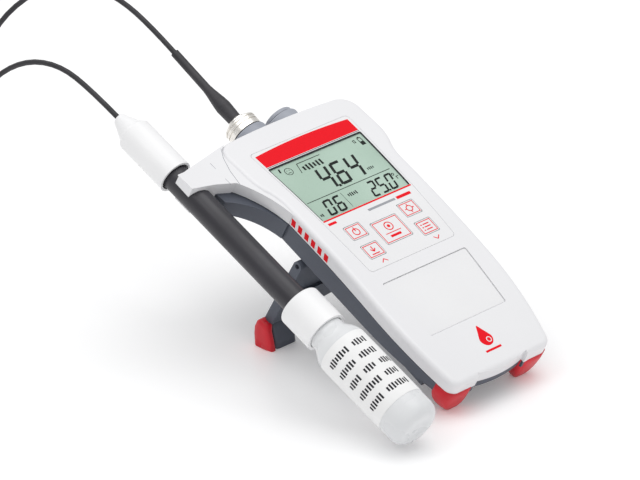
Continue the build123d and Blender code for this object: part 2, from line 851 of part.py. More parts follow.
def make_probe_clip():
    """Arm flush with the face, carried by a snap-in jaw that closes round the shaft."""
    half = clip_width / 2
    reach = 60
    middle = (jaw_lower + jaw_upper) / 2
    corners = [(reach * cos(radians(angle)), reach * sin(radians(angle)))
               for angle in (jaw_lower, middle, jaw_upper)]
    mouth = make_face(Polyline((0, 0), *corners, close=True))
    ring = tube(-half, half, shaft_radius + clip_wall, shaft_radius)
    jaw = probe_place * (ring - extrude(mouth, 60, both=True))
    arm = prism(clip_arm_plan()) & crown_slab(0.15, top_shell_depth - 0.4)
    cheek = prism(clip_arm_plan()) & crown_slab(0.15, clip_depth)
    cheek &= Pos(probe_x + 5.5, 0, -50) * Box(9.0, 300, 100, align=(Align.MIN, Align.MIN, Align.MIN))
    body = arm + cheek + (jaw & crown_slab(0.15, 60))
    body -= jaw_room(shaft_fit)
    for x, y in clip_screw_places:
        body -= cylinder_up(x, y, 0, crown(y, 2.6), screw_radius)
    return body - prism(case_outline(-seat))


def make_clip_bracket():
    """Dark arm under the clip, a continuation of the lower case."""
    outer = bracket_plan()
    body = prism(outer) & body_slab(top_shell_depth, 0.6)
    body -= prism(case_outline(-seat + 0.15))
    body -= probe_place * rod(-90, 90, shaft_radius + 1.2)
    for x, y in clip_screw_places:
        body -= cylinder_up(x, y, 0, 30, screw_radius)
        body -= cylinder_up(x, y, 0, base_height(y) + 2.4, 2.4)
    return body - make_probe_clip()


def bracket_plan():
    outline = Wire([
        Line((root_x, case_length - 1.4), (-50.5, 144.0)),
        Line((-50.5, 144.0), (-53.4, 134.0)),
        Line((-53.4, 134.0), (-52.6, 125.5)),
        ThreePointArc((-52.6, 125.5), (-43.1, 117.5), (-36.1, arm_root)),
        Line((-36.1, arm_root), (root_x, arm_root)),
        Line((root_x, arm_root), (root_x, case_length - 1.4)),
    ])
    return make_face(outline)


def make_clip_screws():
    """Two screws up through the bracket into the arm."""
    screws = []
    for x, y in clip_screw_places:
        low = base_height(y) + 2.4
        head = cylinder_up(x, y, low - 1.6, low, 2.2)
        screws.append(head + cylinder_up(x, y, low - 0.5, crown(y, 2.6), screw_radius))
    return Compound(screws)


# ---------------------------------------------------------------- the probe's cable
# One cable runs from the probe's head to the plug. Its route is given where the meter
# stands: both ends arch over and hang down to a small tied coil on the table behind.
coil_centre = (-66.3, 186.9)
coil_radius = 13.0
coil_columns = 3
coil_rows = 3
coil_pitch = 2.45
coil_lift = 0.5             # the tie lies under the turns
tie_width = 4.0
probe_route = [
    (-45.84, 79.45, 94.20), (-46.05, 95.8, 101.8), (-46.9, 114.9, 108.0), (-50.8, 132.9, 106.0),
    (-56.8, 147.9, 95.0), (-62.3, 158.4, 76.0), (-66.3, 163.9, 54.0), (-69.8, 167.9, 33.0),
    (-72.9, 171.7, 16.0), (-76.5, 176.5, 6.0), (-81.2, 183.2, 2.0),
]
plug_route = [
    (6.10, 99.74, 101.93), (6.1, 114.8, 109.85), (5.1, 132.9, 117.4), (0.7, 150.9, 121.5),
    (-9.3, 166.9, 118.0), (-22.3, 178.9, 105.0), (-31.8, 184.9, 86.0), (-37.3, 187.3, 64.0),
    (-40.6, 188.6, 43.0), (-42.6, 189.8, 26.0), (-45.5, 192.2, 13.6), (-51.5, 197.1, 7.2),
]


def corner_radii(route):
    """The largest arc at each corner that the runs beside it leave room for."""
    radii = []
    for before, corner, after in zip(route, route[1:], route[2:]):
        arriving, leaving = Vector(*corner) - Vector(*before), Vector(*after) - Vector(*corner)
        half_turn = radians(arriving.get_angle(leaving) / 2)
        radii.append(0.45 * min(arriving.length, leaving.length) / tan(half_turn))
    return radii


def make_cable_run(route):
    radii = corner_radii(route)
    path = FilletPolyline(*route, radius=radii)
    section = Plane(origin=path @ 0, z_dir=path % 0) * Circle(cable_radius)
    run = sweep(section, path=path)
    expected = pi * cable_radius ** 2 * path.length
    print("cable run", round(path.length, 1), "mm, volume", round(run.volume, 1), "expected",
          round(expected, 1), "radii", [round(radius, 1) for radius in radii])
    return run - make_cable_coil()


def make_cable_coil():
    half = (coil_columns - 1) / 2 * coil_pitch + cable_radius + 0.1
    height = (coil_rows - 1) * coil_pitch + 2 * cable_radius
    place = Pos(coil_centre[0], coil_centre[1], coil_lift)
    outer = Cylinder(coil_radius + half, height, align=(Align.CENTER, Align.CENTER, Align.MIN))
    outer = fillet(outer.edges(), 1.1)
    return place * (outer - Cylinder(coil_radius - half, 40))


def make_cable_tie():
    """A strap round the bundle, its head on the outer side."""
    reach = (coil_columns - 1) / 2 * coil_pitch + cable_radius + 0.1 + coil_lift
    height = (coil_rows - 1) * coil_pitch + 2 * cable_radius + 2 * coil_lift
    place = Pos(coil_centre[0], coil_centre[1] - coil_radius, 0)
    up = (Align.CENTER, Align.CENTER, Align.MIN)
    strap = place * Box(tie_width, 2 * reach, height, align=up)
    strap = fillet(strap.edges().filter_by(Axis.X), 1.2)
    head = place * Pos(0, -reach - 1.2, 1.5) * Box(tie_width + 1.6, 3.0, 5.0, align=up)
    return strap + head - make_cable_coil()


# ---------------------------------------------------------------- every node
def local_nodes():
    """All pieces that are drawn in the meter's own frame."""
    nodes = {
        "top_shell": make_top_shell(),
        "case_gasket": make_case_gasket(),
        "bottom_shell": make_bottom_shell(),
        "case_screws": make_case_screws(),
        "display_window": make_display_window(),
        "lcd_frame": make_lcd_frame(),
        "lcd_panel": make_lcd_panel(),
        "zebra_strips": make_zebra_strips(),
        "keypad_overlay": make_keypad_overlay(),
        "dome_sheet": make_dome_sheet(),
        "main_board": make_main_board(),
        "board_screws": make_board_screws(),
        "label_plate": make_label_plate(),
        "battery_cells": make_battery_cells(),
        "battery_contacts": make_battery_contacts(),
        "battery_door": make_battery_door(),
        "stand_frame": make_stand_frame(),
        "stand_pin": make_stand_pin(),
        "probe_socket": make_probe_socket(),
        "temp_socket": make_temp_socket(),
        "socket_cap": make_socket_cap(),
        "plug_ring": make_plug_ring(),
        "plug_shell": make_plug_shell(),
        "plug_boot": make_plug_boot(),
        "probe_clip": make_probe_clip(),
        "clip_bracket": make_clip_bracket(),
        "clip_screws": make_clip_screws(),
        "probe_shaft": make_probe_shaft(),
        "head_cap": make_head_cap(),
        "shaft_plug": make_shaft_plug(),
        "membrane_cap": make_membrane_cap(),
        "anode_tube": make_anode(),
        "cathode_core": make_cathode(),
        "bottle_cap": make_bottle_cap(),
        "cap_seal": make_cap_seal(),
        "bottle": make_bottle(),
        "bottle_label": make_bottle_label(),
    }
    for side, name in ((-1, "left"), (1, "right")):
        nodes[f"front_foot_{name}"] = make_front_foot(side)
        nodes[f"stand_foot_{name}"] = make_stand_foot(side)
        nodes[f"socket_collar_{name}"] = make_socket_collar(side)
    for name in keys:
        nodes[name] = make_key(name)
    return nodes


def main():
    os.makedirs("parts", exist_ok=True)
    for name, shape in local_nodes().items():
        export_step(tilt * shape, f"parts/{name}.step")
    export_step(make_cable_run(probe_route), "parts/cable_from_probe.step")
    export_step(make_cable_run(plug_route), "parts/cable_to_plug.step")
    export_step(make_cable_coil(), "parts/cable_coil.step")
    export_step(make_cable_tie(), "parts/cable_tie.step")


main()
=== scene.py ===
import bpy
import bmesh
from math import atan2, cos, pi, radians, sin, sqrt
from mathutils import Matrix, Vector


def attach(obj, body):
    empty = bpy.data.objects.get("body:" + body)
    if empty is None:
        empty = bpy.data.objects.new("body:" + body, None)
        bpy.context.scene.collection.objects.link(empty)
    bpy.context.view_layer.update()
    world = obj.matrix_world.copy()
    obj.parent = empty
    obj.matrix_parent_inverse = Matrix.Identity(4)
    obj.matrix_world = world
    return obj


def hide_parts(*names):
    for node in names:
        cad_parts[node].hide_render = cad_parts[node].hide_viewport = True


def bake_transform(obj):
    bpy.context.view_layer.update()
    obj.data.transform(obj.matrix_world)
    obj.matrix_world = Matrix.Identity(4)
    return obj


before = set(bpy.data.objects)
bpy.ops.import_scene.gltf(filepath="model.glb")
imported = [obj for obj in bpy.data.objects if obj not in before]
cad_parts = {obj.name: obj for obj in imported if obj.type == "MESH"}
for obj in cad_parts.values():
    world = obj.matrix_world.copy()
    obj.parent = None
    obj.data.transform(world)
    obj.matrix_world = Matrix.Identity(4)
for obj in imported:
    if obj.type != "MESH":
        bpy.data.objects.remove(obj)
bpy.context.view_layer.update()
print("frame loaded", len(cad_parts), "nodes")

mm = 0.001
scene = bpy.context.scene

# The meter's own frame: X across, Y along the case, Z out of the face, before it is stood up.
stance = {"incline": 27.75, "shift": (15.7, -81.1)}
toRow = (Matrix.Translation((stance["shift"][0] * mm, stance["shift"][1] * mm, 0))
         @ Matrix.Rotation(radians(stance["incline"]), 4, "X"))
face = {"top": 22.8, "apex": 71.0, "radius": 600.0}
probe = {"origin": (-61.0, 139.0, 10.8), "along": (-1.7, 148.0, -6.9)}


def crown(y, depth=0.0):
    # Height of the face, or of a surface that lies depth below it, in the meter's frame.
    radius = face["radius"] - depth
    return face["top"] - face["radius"] + sqrt(radius ** 2 - (y - face["apex"]) ** 2)


def probeFrame():
    # Turns Z along the probe, towards its cable, with X down and Y away from the case.
    along = Vector(probe["along"]).normalized()
    down = Vector((0, probe["along"][2], -probe["along"][1])).normalized()
    side = along.cross(down)
    turn = Matrix((down, side, along)).transposed().to_4x4()
    return Matrix.Translation(Vector(probe["origin"])) @ turn


onProbe = toRow @ Matrix.Scale(mm, 4) @ probeFrame()
onMeter = toRow @ Matrix.Scale(mm, 4)


# Camera, floor, light
def makeCamera():
    view = {"azimuth": -44.73, "elevation": 26.15, "away": 2.0457, "aim": (-0.01496, -0.01104, 0.05743),
            "lens": 273.4}
    azimuth, elevation = radians(view["azimuth"]), radians(view["elevation"])
    back = Vector((sin(azimuth) * cos(elevation), -cos(azimuth) * cos(elevation), sin(elevation)))
    data = bpy.data.cameras.new("camera")
    data.lens = view["lens"]
    data.sensor_width = 36.0
    data.clip_start, data.clip_end = 0.05, 30.0
    camera = bpy.data.objects.new("camera", data)
    camera.location = Vector(view["aim"]) + back * view["away"]
    camera.rotation_euler = (-back).to_track_quat("-Z", "Y").to_euler()
    scene.collection.objects.link(camera)
    scene.camera = camera


def makeLights():
    soft = {
        "key": ((0.3, -0.2, 1.7), 1.5, 10.5),
        "left": ((-0.8, 0.3, 1.5), 1.0, 4.0),
        "back": ((0.3, 1.5, 1.0), 1.0, 3.0),
        "front": ((-0.5, -1.5, 1.1), 0.9, 1.5),
    }
    for name, (place, width, power) in soft.items():
        data = bpy.data.lights.new(name, "AREA")
        data.shape, data.size, data.energy = "DISK", width, power
        lamp = bpy.data.objects.new(name, data)
        lamp.location = place
        lamp.rotation_euler = (Vector((0, 0, 0.05)) - Vector(place)).to_track_quat("-Z", "Y").to_euler()
        scene.collection.objects.link(lamp)
    world = bpy.data.worlds.new("studio")
    world.use_nodes = True
    world.node_tree.nodes["Background"].inputs["Color"].default_value = (1.0, 1.0, 1.0, 1)
    world.node_tree.nodes["Background"].inputs["Strength"].default_value = 0.61
    scene.world = world
    scene.view_settings.view_transform = "Standard"


# Mesh helpers
def newPiece(name, bm, body, material, smooth=False):
    # Makes an object of the bmesh, which is already in place, and lets it ride.
    bmesh.ops.recalc_face_normals(bm, faces=bm.faces[:])
    mesh = bpy.data.meshes.new(name)
    for polygon in bm.faces:
        polygon.smooth = smooth
    bm.to_mesh(mesh)
    bm.free()
    mesh.materials.append(material)
    piece = bpy.data.objects.new(name, mesh)
    scene.collection.objects.link(piece)
    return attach(piece, body) or piece


def addBlock(bm, x, y, width, length, turn=0.0, low=0.0, high=0.04, cuts=0):
    # A thin block in plan, turned about its middle; cuts lets a long one follow the crown.
    made = bmesh.ops.create_grid(bm, x_segments=1, y_segments=cuts + 1, size=0.5)
    place = Matrix.Translation((x, y, high)) @ Matrix.Rotation(radians(turn), 4, "Z")
    bmesh.ops.transform(bm, matrix=place @ Matrix.Diagonal((width, length, 1, 1)), verts=made["verts"])
    faces = list({f for v in made["verts"] for f in v.link_faces})
    grown = bmesh.ops.extrude_face_region(bm, geom=faces)
    down = [v for v in grown["geom"] if isinstance(v, bmesh.types.BMVert)]
    bmesh.ops.translate(bm, vec=(0, 0, low - high), verts=down)


def addDisc(bm, x, y, radius, sides=28, low=0.0, high=0.04, hole=0.0):
    made = bmesh.ops.create_circle(bm, cap_ends=not hole, segments=sides, radius=radius)
    if hole:
        inner = bmesh.ops.create_circle(bm, cap_ends=False, segments=sides, radius=hole)
        edges = list({e for v in made["verts"] + inner["verts"] for e in v.link_edges})
        bmesh.ops.bridge_loops(bm, edges=edges)
        made["verts"] += inner["verts"]
    bmesh.ops.translate(bm, vec=(x, y, high), verts=made["verts"])
    faces = list({f for v in made["verts"] for f in v.link_faces})
    grown = bmesh.ops.extrude_face_region(bm, geom=faces)
    down = [v for v in grown["geom"] if isinstance(v, bmesh.types.BMVert)]
    bmesh.ops.translate(bm, vec=(0, 0, low - high), verts=down)


def addPlate(bm, front, back, halfFront, halfBack, low, high, columns=1, bow=0.0):
    # A slightly tapering plate, in rows so that it can follow the crown; bow arches its far edge.
    made = bmesh.ops.create_grid(bm, x_segments=columns, y_segments=12, size=0.5)
    for vert in made["verts"]:
        share = vert.co.y + 0.5
        half = halfFront + (halfBack - halfFront) * share
        vert.co.y = front + (back - front + bow * (1 - 4 * vert.co.x ** 2)) * share
        vert.co.x *= 2 * half
        vert.co.z = high
    faces = list({f for v in made["verts"] for f in v.link_faces})
    grown = bmesh.ops.extrude_face_region(bm, geom=faces)
    down = [v for v in grown["geom"] if isinstance(v, bmesh.types.BMVert)]
    bmesh.ops.translate(bm, vec=(0, 0, low - high), verts=down)


def addStroke(bm, start, end, line, **size):
    # A straight line between two points, drawn in ink for print and as painted shade along the seams and
    # window walls.
    run = Vector(end) - Vector(start)
    middle = (Vector(start) + Vector(end)) / 2
    addBlock(bm, middle.x, middle.y, line, run.length, turn=-90 + 180 / pi * atan2(run.y, run.x), **size)


def addRounded(bm, levels, power=4.0, sides=40):
    # Rounded rectangles (x, y, z, width, length), one above the other, joined into a solid.
    rings = []
    for x, y, z, width, length in levels:
        made = bmesh.ops.create_circle(bm, cap_ends=False, segments=sides, radius=1.0)
        for vert in made["verts"]:
            across, along = vert.co.x, vert.co.y
            stretch = (abs(across) ** power + abs(along) ** power) ** (-1 / power)
            vert.co = (x + across * stretch * width / 2, y + along * stretch * length / 2, z)
        rings.append(list({e for v in made["verts"] for e in v.link_edges}))
    for ring, following in zip(rings, rings[1:]):
        bmesh.ops.bridge_loops(bm, edges=ring + following)
    for ring in (rings[0], rings[-1]):
        bmesh.ops.contextual_create(bm, geom=ring)


def layOnFace(bm, depth=0.0):
    # Bends what is drawn flat on to the crowned face, and takes it to the row frame.
    for vert in bm.verts:
        vert.co.z += crown(vert.co.y, depth)
    bmesh.ops.transform(bm, matrix=onMeter, verts=bm.verts)


def addFrame(bm, x, y, width, height, line, **size):
    # Four bars round a rectangle.
    for side in (-1, 1):
        addBlock(bm, x, y + side * (height - line) / 2, width, line, **size)
        addBlock(bm, x + side * (width - line) / 2, y, line, height - 2 * line, **size)


def addLathe(bm, profile, steps=64):
    # Turns (radius, height) points about Z into a closed solid of revolution.
    verts = [bm.verts.new((radius, 0, height)) for radius, height in profile]
    edges = [bm.edges.new(pair) for pair in zip(verts, verts[1:])]
    bmesh.ops.spin(bm, geom=verts + edges, axis=(0, 0, 1), cent=(0, 0, 0), angle=2 * pi, steps=steps,
                   use_merge=True)
    bmesh.ops.remove_doubles(bm, verts=bm.verts[:], dist=1e-5)


# Materials
def startMaterial(name):
    material = bpy.data.materials.new(name)
    material.use_nodes = True
    tree = material.node_tree
    shader = tree.nodes["Principled BSDF"]
    coords = tree.nodes.new("ShaderNodeTexCoord")
    return material, tree, shader, coords


def noiseOf(tree, coords, scale, detail=4.0, stretch=None):
    # Noise in object coordinates, or along a stretched direction.
    source = coords.outputs["Object"]
    if stretch:
        mapping = tree.nodes.new("ShaderNodeMapping")
        mapping.inputs["Scale"].default_value = stretch
        tree.links.new(source, mapping.inputs["Vector"])
        source = mapping.outputs["Vector"]
    noise = tree.nodes.new("ShaderNodeTexNoise")
    noise.inputs["Scale"].default_value = scale
    noise.inputs["Detail"].default_value = detail
    tree.links.new(source, noise.inputs["Vector"])
    return noise.outputs["Fac"]


def rangeOf(tree, value, low, high):
    remap = tree.nodes.new("ShaderNodeMapRange")
    remap.inputs["From Min"].default_value = 0.3
    remap.inputs["From Max"].default_value = 0.7
    remap.inputs["To Min"].default_value = low
    remap.inputs["To Max"].default_value = high
    tree.links.new(value, remap.inputs["Value"])
    return remap.outputs["Result"]


def tintOf(tree, value, dark, light):
    mix = tree.nodes.new("ShaderNodeMix")
    mix.data_type = "RGBA"
    mix.inputs["A"].default_value = (*dark, 1)
    mix.inputs["B"].default_value = (*light, 1)
    tree.links.new(rangeOf(tree, value, 0.0, 1.0), mix.inputs["Factor"])
    return mix.outputs["Result"]


def bumpOf(tree, shader, value, distance, strength=1.0):
    bump = tree.nodes.new("ShaderNodeBump")
    bump.inputs["Distance"].default_value = distance
    bump.inputs["Strength"].default_value = strength
    tree.links.new(value, bump.inputs["Height"])
    tree.links.new(bump.outputs["Normal"], shader.inputs["Normal"])
    return bump


def plastic(name, look):
    # Moulded plastic or rubber: slow colour drift, uneven gloss and a fine grain.
    material, tree, shader, coords = startMaterial(name)
    drift = noiseOf(tree, coords, look["drift"], 3.0)
    tree.links.new(tintOf(tree, drift, look["dark"], look["light"]), shader.inputs["Base Color"])
    wear = noiseOf(tree, coords, look["wear"], 6.0)
    tree.links.new(rangeOf(tree, wear, *look["rough"]), shader.inputs["Roughness"])
    grain = noiseOf(tree, coords, look["grain"], look.get("detail", 2.0))
    bumpOf(tree, shader, grain, look["bump"], look.get("strength", 0.5))
    for key, value in look.get("set", {}).items():
        shader.inputs[key].default_value = value
    return material


def metal(name, look):
    # Turned or plated metal: rings of fine tooling marks and a cloudy polish.
    material, tree, shader, coords = startMaterial(name)
    shader.inputs["Metallic"].default_value = 1.0
    cloud = noiseOf(tree, coords, 90.0, 4.0)
    tree.links.new(tintOf(tree, cloud, look["dark"], look["light"]), shader.inputs["Base Color"])
    marks = noiseOf(tree, coords, 60.0, 5.0, look["stretch"])
    tree.links.new(rangeOf(tree, marks, *look["rough"]), shader.inputs["Roughness"])
    bumpOf(tree, shader, marks, 0.00002, 0.4)
    return material


def printedInkAndShade(name, colour, rough=0.45):
    # Screen-printed ink: a little mottled, and slightly rougher than the film below it. The same flat finish
    # also gives the painted shade in the arm's seams and on the display window's walls.
    material, tree, shader, coords = startMaterial(name)
    mottle = noiseOf(tree, coords, 1400.0, 3.0)
    dark = tuple(channel * 0.93 for channel in colour)
    tree.links.new(tintOf(tree, mottle, dark, colour), shader.inputs["Base Color"])
    shader.inputs["Roughness"].default_value = rough
    shader.inputs["Specular IOR Level"].default_value = 0.08
    bumpOf(tree, shader, mottle, 0.000004, 0.3)
    return material


def clearPane(name, tint, amount):
    # A thin clear window: mostly see-through, with a fresnel gloss and faint smears.
    material, tree, shader, coords = startMaterial(name)
    smear = noiseOf(tree, coords, 45.0, 5.0, (1.0, 2.2, 1.0))
    tree.links.new(rangeOf(tree, smear, 0.04, 0.12), shader.inputs["Roughness"])
    shader.inputs["Base Color"].default_value = (*tint, 1)
    clear = tree.nodes.new("ShaderNodeBsdfTransparent")
    mix = tree.nodes.new("ShaderNodeMixShader")
    fresnel = tree.nodes.new("ShaderNodeFresnel")
    fresnel.inputs["IOR"].default_value = 1.45
    scaled = tree.nodes.new("ShaderNodeMath")
    scaled.operation = "MULTIPLY"
    scaled.inputs[1].default_value = amount
    outside = tree.nodes.new("ShaderNodeMath")
    outside.operation = "SUBTRACT"
    outside.inputs[0].default_value = 1.0
    tree.links.new(tree.nodes.new("ShaderNodeNewGeometry").outputs["Backfacing"], outside.inputs[1])
    seen = tree.nodes.new("ShaderNodeMath")
    seen.operation = "MULTIPLY"
    tree.links.new(fresnel.outputs["Fac"], scaled.inputs[0])
    tree.links.new(scaled.outputs["Value"], seen.inputs[0])
    tree.links.new(outside.outputs["Value"], seen.inputs[1])
    tree.links.new(seen.outputs["Value"], mix.inputs["Fac"])
    tree.links.new(clear.outputs["BSDF"], mix.inputs[1])
    tree.links.new(shader.outputs["BSDF"], mix.inputs[2])
    tree.links.new(mix.outputs["Shader"], tree.nodes["Material Output"].inputs["Surface"])
    return material


def liquidCrystal():
    # The grey-green reflector behind the segments, lighter towards its right-hand end.
    material, tree, shader, coords = startMaterial("lcdGreen")
    speckle = noiseOf(tree, coords, 2600.0, 2.0)
    drift = noiseOf(tree, coords, 22.0, 1.0)
    tree.links.new(tintOf(tree, drift, (0.40, 0.54, 0.45), (0.52, 0.67, 0.58)), shader.inputs["Base Color"])
    tree.links.new(rangeOf(tree, speckle, 0.28, 0.42), shader.inputs["Roughness"])
    bumpOf(tree, shader, speckle, 0.000004, 0.4)
    shader.inputs["Specular IOR Level"].default_value = 0.25
    return material


white = plastic("whiteShell", {"drift": 12.0, "dark": (0.80, 0.80, 0.82), "light": (0.84, 0.84, 0.855),
                "wear": 30.0, "rough": (0.30, 0.40), "grain": 900.0, "bump": 0.00002, "strength": 0.35})
slate = plastic("slateShell", {"drift": 18.0, "dark": (0.076, 0.086, 0.112), "light": (0.100, 0.112, 0.142),
                "wear": 40.0, "rough": (0.45, 0.6), "grain": 2600.0, "bump": 0.00004, "strength": 0.6})
redRubber = plastic("redRubber", {"drift": 60.0, "dark": (0.56, 0.004, 0.014), "light": (0.72, 0.008, 0.024),
                    "wear": 90.0, "rough": (0.32, 0.46), "grain": 1800.0, "bump": 0.00004, "strength": 0.5})
blackPlastic = plastic("blackShaft", {"drift": 25.0, "dark": (0.022, 0.021, 0.026),
                       "light": (0.036, 0.034, 0.044), "wear": 60.0, "rough": (0.34, 0.46),
                       "grain": 1500.0, "bump": 0.00002, "strength": 0.4})
blackRubber = plastic("blackRubber", {"drift": 80.0, "dark": (0.018, 0.018, 0.022),
                      "light": (0.036, 0.034, 0.040), "wear": 150.0, "rough": (0.42, 0.6),
                      "grain": 2200.0, "bump": 0.00004, "strength": 0.5})
greyPlastic = plastic("greyCollar", {"drift": 50.0, "dark": (0.30, 0.32, 0.37), "light": (0.38, 0.40, 0.45),
                      "wear": 90.0, "rough": (0.34, 0.48), "grain": 1700.0, "bump": 0.00003})
whiteCap = plastic("whiteCap", {"drift": 30.0, "dark": (0.88, 0.88, 0.89), "light": (0.92, 0.92, 0.925),
                   "wear": 60.0, "rough": (0.28, 0.4), "grain": 1200.0, "bump": 0.00002, "strength": 0.35,
                   "set": {"Subsurface Weight": 0.1, "Subsurface Radius": (0.002, 0.002, 0.002)}})
milky = plastic("milkyBottle", {"drift": 40.0, "dark": (0.72, 0.73, 0.745), "light": (0.80, 0.81, 0.82),
                "wear": 70.0, "rough": (0.24, 0.36), "grain": 1000.0, "bump": 0.00003, "strength": 0.4,
                "set": {"IOR": 1.45, "Subsurface Weight": 0.35,
                        "Subsurface Radius": (0.003, 0.003, 0.003)}})
overlayFilm = plastic("overlayFilm", {"drift": 20.0, "dark": (0.80, 0.80, 0.815), "light": (0.84, 0.84, 0.85),
                      "wear": 120.0, "rough": (0.36, 0.46), "grain": 3200.0, "bump": 0.00002})
labelPaper = plastic("bottleLabel", {"drift": 60.0, "dark": (0.86, 0.86, 0.86), "light": (0.92, 0.92, 0.92),
                     "wear": 200.0, "rough": (0.5, 0.62), "grain": 4000.0, "bump": 0.00003})
nickel = metal("nickelRing", {"dark": (0.84, 0.81, 0.76), "light": (0.95, 0.93, 0.89),
               "rough": (0.22, 0.38), "stretch": (1.0, 30.0, 30.0)})
steel = metal("steelScrews", {"dark": (0.45, 0.45, 0.46), "light": (0.62, 0.62, 0.63),
              "rough": (0.25, 0.45), "stretch": (20.0, 1.0, 20.0)})
redInk = printedInkAndShade("redInk", (0.86, 0.008, 0.018))
greyInk = printedInkAndShade("greyInk", (0.36, 0.37, 0.40))
# Dark ink for the print, also used as painted shade on the display window's walls.
darkInkAndShade = printedInkAndShade("darkInkAndShade", (0.030, 0.030, 0.036))
segmentInk = printedInkAndShade("segmentInk", (0.006, 0.010, 0.009), 0.6)
# A grey of painted shade, for the shaded grooves of the arm's moulding lines.
paintedSeamShade = printedInkAndShade("paintedSeamShade", (0.42, 0.43, 0.46), 0.7)
pane = clearPane("displayPane", (0.9, 0.93, 0.9), 0.35)
lcdGreen = liquidCrystal()
print("materials made", len(bpy.data.materials))


# The cable
cable = {
    "diameter": 0.0024,
    "fromProbe": [
        (-45.84, 79.45, 94.20), (-46.05, 95.8, 101.8), (-46.9, 114.9, 108.0), (-50.8, 132.9, 106.0),
        (-56.8, 147.9, 95.0), (-62.3, 158.4, 76.0), (-66.3, 163.9, 54.0), (-69.8, 167.9, 33.0),
        (-72.9, 171.7, 16.0), (-76.5, 176.5, 6.0), (-81.2, 183.2, 2.0),
    ],
    "toPlug": [
        (6.10, 99.74, 101.93), (6.1, 114.8, 109.85), (5.1, 132.9, 117.4), (0.7, 150.9, 121.5),
        (-9.3, 166.9, 118.0), (-22.3, 178.9, 105.0), (-31.8, 184.9, 86.0), (-37.3, 187.3, 64.0),
        (-40.6, 188.6, 43.0), (-42.6, 189.8, 26.0), (-45.5, 192.2, 15.0), (-51.5, 197.1, 9.6),
    ],
    "giveWay": (31.8, 35.4, 0.0),
    "coil": {"centre": (-66.3, 186.9), "radius": 13.0, "pitch": 2.45, "turns": 7.4, "start": 190.0,
             "perTurn": 16, "lift": 1.75},
}


def coilPoints():
    # Three turns side by side, then three above them, then the rest, clockwise seen from above.
    coil = cable["coil"]
    centre = Vector(coil["centre"])
    wholeRows = (1.0, 1.0, coil["turns"] / 3 - 2)
    points = []
    for step in range(int(coil["turns"] * coil["perTurn"]) + 1):
        turned = step / coil["perTurn"]
        row = min(int(turned / 3), 2)
        share = turned / 3 - row
        inwards = 1 if row % 2 == 0 else -1
        radius = coil["radius"] + coil["pitch"] * inwards * (1 - 2 * share)
        height = coil["lift"] + coil["pitch"] * (row + (share / wholeRows[row]) ** 8)
        angle = radians(coil["start"]) - 2 * pi * turned
        points.append((centre.x + radius * cos(angle), centre.y + radius * sin(angle), height))
    return points


def makeCable():
    points = cable["fromProbe"] + coilPoints() + cable["toPlug"][::-1]
    curve = bpy.data.curves.new("cableRoute", "CURVE")
    curve.dimensions = "3D"
    spline = curve.splines.new("NURBS")
    spline.points.add(len(points) - 1)
    for point, place in zip(spline.points, points):
        point.co = (*(Vector(place) * mm), 1.0)
    spline.order_u = 3
    spline.use_endpoint_u = True
    spline.resolution_u = 4
    route = bpy.data.objects.new("cableRoute", curve)
    scene.collection.objects.link(route)
    line = bpy.data.meshes.new_from_object(route)
    curve.bevel_depth = cable["diameter"] / 2
    curve.bevel_resolution = 3
    curve.use_fill_caps = True
    bpy.context.view_layer.update()
    mesh = bpy.data.meshes.new_from_object(route.evaluated_get(bpy.context.evaluated_depsgraph_get()))
    bpy.data.objects.remove(route)
    for polygon in mesh.polygons:
        polygon.use_smooth = True
    mesh.materials.clear()
    mesh.materials.append(blackRubber)
    lead = bpy.data.objects.new("probeCable", mesh)
    scene.collection.objects.link(lead)
    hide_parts("cable_from_probe", "cable_to_plug", "cable_coil")
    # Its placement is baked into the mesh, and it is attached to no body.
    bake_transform(lead)


makeCamera()
makeCable()
makeLights()


# Finishes of the imported pieces
finishes = {
    white: ["top_shell", "probe_clip"],
    slate: ["bottom_shell", "battery_door", "stand_frame", "clip_bracket"],
    blackPlastic: ["probe_shaft", "membrane_cap", "temp_socket", "cable_tie"],
    blackRubber: ["plug_boot", "case_gasket", "zebra_strips", "cap_seal"],
    greyPlastic: ["socket_collar_left", "socket_collar_right", "socket_cap", "shaft_plug"],
    whiteCap: ["head_cap", "bottle_cap"],
    labelPaper: ["bottle_label"],
    overlayFilm: ["keypad_overlay", "label_plate", "key_read", "key_exit", "key_cal", "key_store",
                  "key_mode"],
    nickel: ["plug_ring", "plug_shell", "probe_socket", "anode_tube"],
    steel: ["case_screws", "board_screws", "clip_screws", "stand_pin", "battery_contacts", "dome_sheet",
            "lcd_frame"],
    pane: ["cathode_core"],
}
for material, nodes in finishes.items():
    for node in nodes:
        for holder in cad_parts[node].material_slots:
            holder.material = material
print("finishes given to", sum(len(nodes) for nodes in finishes.values()), "CAD pieces")



# Display
def addDigit(bm, figure, x, y, width, height, line, lean):
    # A seven-segment figure with a slant.
    half = height / 2
    gap = line * 0.22
    lying = {"a": height - line / 2, "g": half, "d": line / 2}
    upright = {"f": (line / 2, half), "b": (width - line / 2, half), "e": (line / 2, 0.0),
               "c": (width - line / 2, 0.0)}
    lit = {"0": "abcdef", "2": "abged", "4": "fgbc", "5": "afgcd", "6": "afgedc"}[figure]
    before = set(bm.verts)
    for segment in lit:
        if segment in lying:
            addBlock(bm, width / 2, lying[segment], width - 1.3 * line, line * 0.9)
        else:
            across, start = upright[segment]
            addBlock(bm, across, start + half / 2, line * 0.9, half - line * 0.5 - gap)
    for vert in set(bm.verts) - before:
        vert.co.x += x + lean * vert.co.y
        vert.co.y += y


def addMarks(bm, x, y, counts, width, pitch, height, **size):
    # A line of plain upright strokes in groups, with a gap after each group.
    across = x
    for count in counts:
        for number in range(count):
            addBlock(bm, across, y, width, height * (1.0 if number % 3 else 0.72), **size)
            across += pitch
        across += 1.6 * pitch


